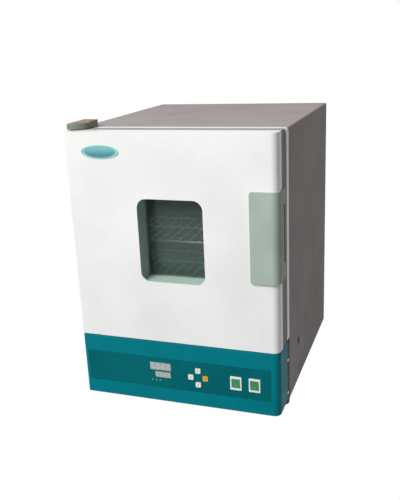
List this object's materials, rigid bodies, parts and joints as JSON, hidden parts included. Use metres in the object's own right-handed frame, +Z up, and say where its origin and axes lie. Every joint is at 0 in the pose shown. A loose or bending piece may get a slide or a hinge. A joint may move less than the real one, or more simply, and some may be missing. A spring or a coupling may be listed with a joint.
{
  "type": "laboratory drying oven",
  "caption": "Bench-top laboratory drying oven with a windowed hinged door, side grip, fan-stirred insulated chamber, wire shelves and a front control panel.",
  "frame": {"origin": "middle of the overall box in plan, on the surface the feet stand on", "axes": "+Z up, -Y out of the door, +X towards the door's grip side"},
  "size_m": [0.44, 0.5544, 0.612],
  "materials": {
    "white_enamel": "smooth semi-gloss",
    "grey_enamel": "fine satin",
    "stainless": "brushed",
    "galvanised": "dull zinc",
    "mineral_wool": "felted fibre",
    "well_enamel": "satin",
    "glass": "polished",
    "silicone": "matte",
    "black_rubber": "matte",
    "handle_plastic": "fine grain",
    "hinge_plastic": "satin",
    "teal_plastic": "smooth",
    "badge_teal": "smooth",
    "film": "smooth film",
    "display": "clear window over grey segments",
    "lamp": "smooth",
    "board": "solder mask",
    "key_white": "smooth",
    "key_yellow": "smooth",
    "switch_white": "fine grain",
    "rocker_green": "translucent green, smooth",
    "black_plastic": "fine grain",
    "nylon": "smooth",
    "bronze": "machined",
    "magnet": "ground",
    "screw_steel": "zinc plated",
    "aluminium": "pressed",
    "motor_casting": "cast"
  },
  "bodies": {
    "cabinet": {"outer_shell": "grey_enamel", "front_frame": "white_enamel", "base_chassis": "grey_enamel", "rear_cover": "grey_enamel", "rear_bulkhead": "galvanised", "chamber_liner": "stainless", "cabinet_insulation": "mineral_wool", "air_baffle": "stainless", "shelf_rack_left": "stainless", "shelf_rack_right": "stainless", "heater_element": "stainless", "fan_motor": "motor_casting", "motor_bracket": "galvanised", "temperature_probe": "stainless", "exhaust_tube": "stainless", "control_panel": "teal_plastic", "panel_film": "film", "display_upper": "display", "display_lower": "display", "indicator_lamps": "lamp", "controller_board": "board", "switch_housings": "switch_white", "side_access_cover": "grey_enamel", "port_grommet": "black_rubber", "power_inlet": "black_plastic", "fuse_holders": "black_plastic", "solid_state_relay": "black_plastic", "rubber_feet": "black_rubber", "foot_screws": "screw_steel", "hinge_bracket_upper": "hinge_plastic", "hinge_bracket_lower": "galvanised", "hinge_washer": "nylon", "door_catches": "magnet", "casing_screws": "screw_steel"},
    "door": {"door_skin": "white_enamel", "door_inner_shell": "grey_enamel", "door_insulation": "mineral_wool", "door_inner_panel": "stainless", "door_gasket": "silicone", "window_well": "well_enamel", "window_outer_glass": "glass", "window_inner_glass": "glass", "glass_spacer": "silicone", "door_handle": "handle_plastic", "hinge_bushes": "bronze", "catch_plates": "galvanised", "badge_plate": "badge_teal", "door_screws": "screw_steel"},
    "shelf_upper": {"shelf_upper": "stainless"},
    "shelf_lower": {"shelf_lower": "stainless"},
    "fan": {"fan_wheel": "aluminium", "fan_shaft": "stainless"},
    "key_up": {"key_up": "key_white"},
    "key_left": {"key_left": "key_white"},
    "key_right": {"key_right": "key_yellow"},
    "key_down": {"key_down": "key_white"},
    "rocker_power": {"rocker_power": "rocker_green"},
    "rocker_fan": {"rocker_fan": "rocker_green"},
    "exhaust_damper": {"exhaust_damper": "stainless"}
  },
  "joints": [
    {"name": "door_hinge", "type": "hinge", "parent": "cabinet", "child": "door", "pos_m": [-0.206, -0.25325, 0.38065], "axis": [0, 0, -1], "range_deg": [0, 110]},
    {"name": "shelf_upper_slide", "type": "slide", "parent": "cabinet", "child": "shelf_upper", "axis": [0, -1, 0], "range_m": [0, 0.028]},
    {"name": "shelf_lower_slide", "type": "slide", "parent": "cabinet", "child": "shelf_lower", "axis": [0, -1, 0], "range_m": [0, 0.028]},
    {"name": "fan_spin", "type": "hinge", "parent": "cabinet", "child": "fan", "pos_m": [0, 0.02495, 0.3805], "axis": [0, 1, 0], "continuous": true},
    {"name": "key_up_press", "type": "slide", "parent": "cabinet", "child": "key_up", "axis": [0, 1, 0], "range_m": [0, 0.001], "stiffness_N_per_m": 300},
    {"name": "key_left_press", "type": "slide", "parent": "cabinet", "child": "key_left", "axis": [0, 1, 0], "range_m": [0, 0.001], "stiffness_N_per_m": 300},
    {"name": "key_right_press", "type": "slide", "parent": "cabinet", "child": "key_right", "axis": [0, 1, 0], "range_m": [0, 0.001], "stiffness_N_per_m": 300},
    {"name": "key_down_press", "type": "slide", "parent": "cabinet", "child": "key_down", "axis": [0, 1, 0], "range_m": [0, 0.001], "stiffness_N_per_m": 300},
    {"name": "rocker_power_tilt", "type": "hinge", "parent": "cabinet", "child": "rocker_power", "pos_m": [0.126, -0.27085, 0.087], "axis": [1, 0, 0], "range_deg": [0, 16]},
    {"name": "rocker_fan_tilt", "type": "hinge", "parent": "cabinet", "child": "rocker_fan", "pos_m": [0.1655, -0.27085, 0.087], "axis": [1, 0, 0], "range_deg": [0, 16]},
    {"name": "damper_turn", "type": "hinge", "parent": "cabinet", "child": "exhaust_damper", "pos_m": [0, 0.25625, 0.5105], "axis": [1, 0, 0], "range_deg": [0, 90]}
  ]
}
